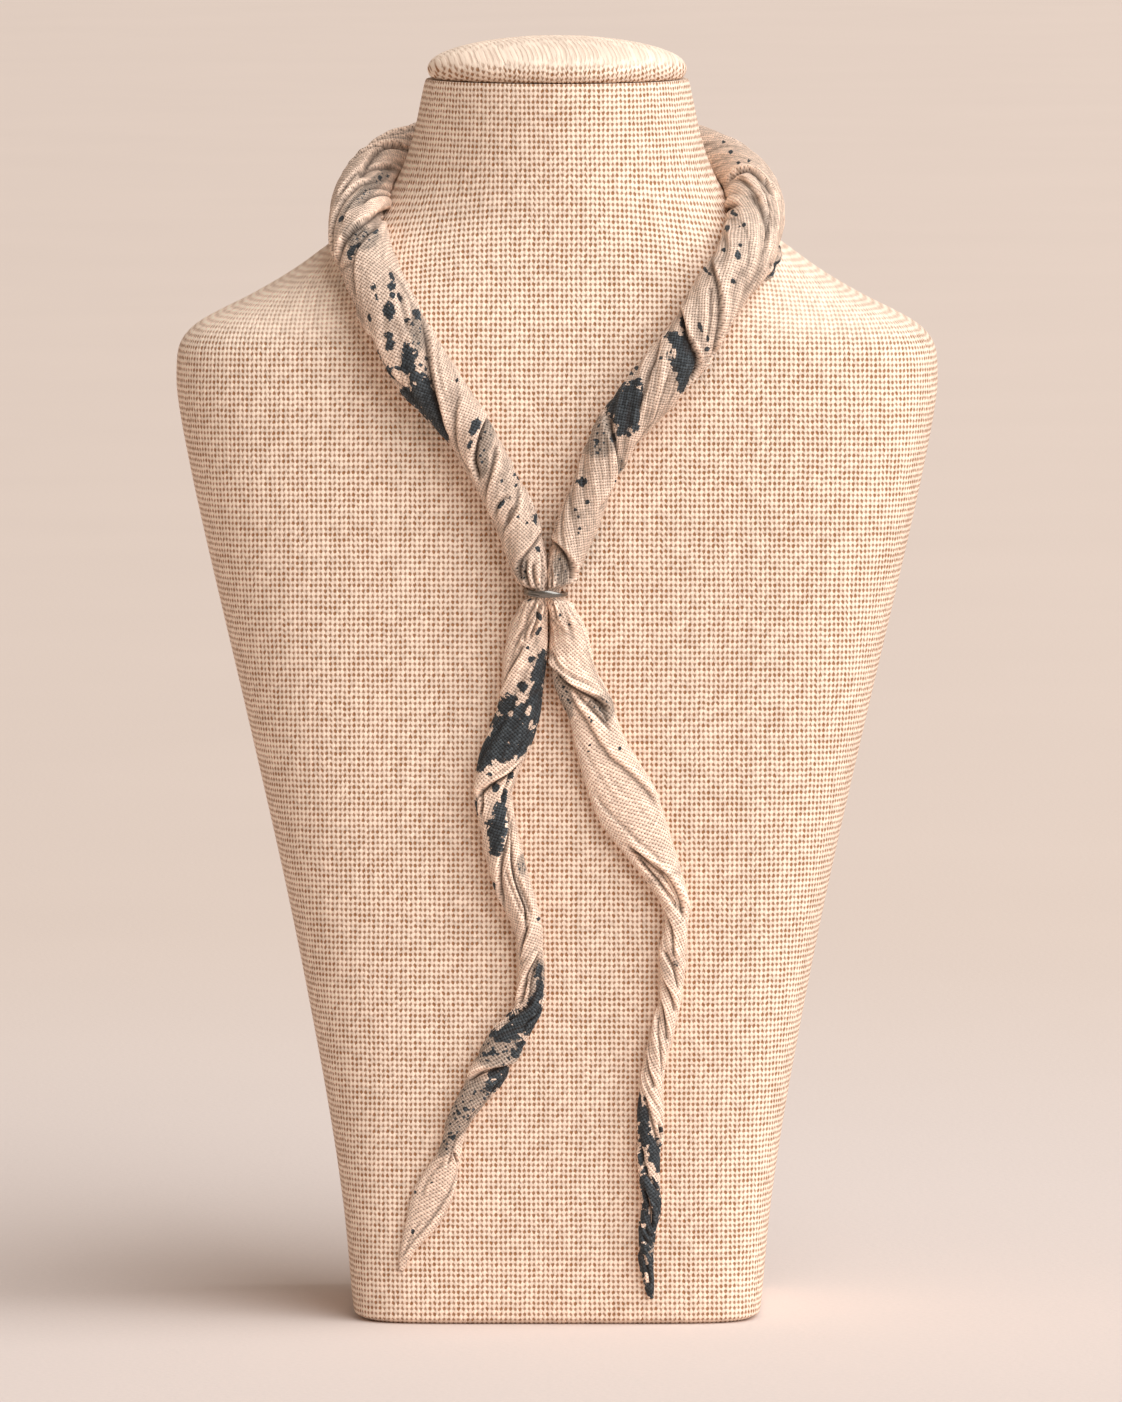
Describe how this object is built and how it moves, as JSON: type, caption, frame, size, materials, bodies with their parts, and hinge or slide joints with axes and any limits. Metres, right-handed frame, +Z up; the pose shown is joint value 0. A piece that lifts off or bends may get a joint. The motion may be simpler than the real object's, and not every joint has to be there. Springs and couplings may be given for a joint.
{
  "type": "bandana on a necklace display bust",
  "caption": "Twisted cotton bandana worn round the neck of a linen-covered display bust, its strands held by an open wrap ring, its tails hanging in front.",
  "frame": {"origin": "middle of the bust's flat base, on the surface that it stands on", "axes": "+Z up along the bust to its cap, -Y out of the chest, where the tails hang, +X to the right as seen from the front"},
  "size_m": [0.1908, 0.1094, 0.3206],
  "materials": {
    "bust_linen": "natural open-weave linen glued over a smooth form, matt",
    "printed_cotton": "thin sand-coloured cotton with a charcoal ink splatter, matt",
    "ring_steel": "thin round wire, worn satin"
  },
  "bodies": {
    "root": {"bust_torso": "bust_linen", "bust_cap": "bust_linen", "neck_roll": "printed_cotton", "left_drape": "printed_cotton", "right_drape": "printed_cotton", "left_tail_band": "printed_cotton", "left_tail_twist": "printed_cotton", "left_tail_tip": "printed_cotton", "right_tail_leaf": "printed_cotton", "right_tail_twist": "printed_cotton", "right_tail_end": "printed_cotton", "wrap_ring": "ring_steel"}
  },
  "joints": []
}
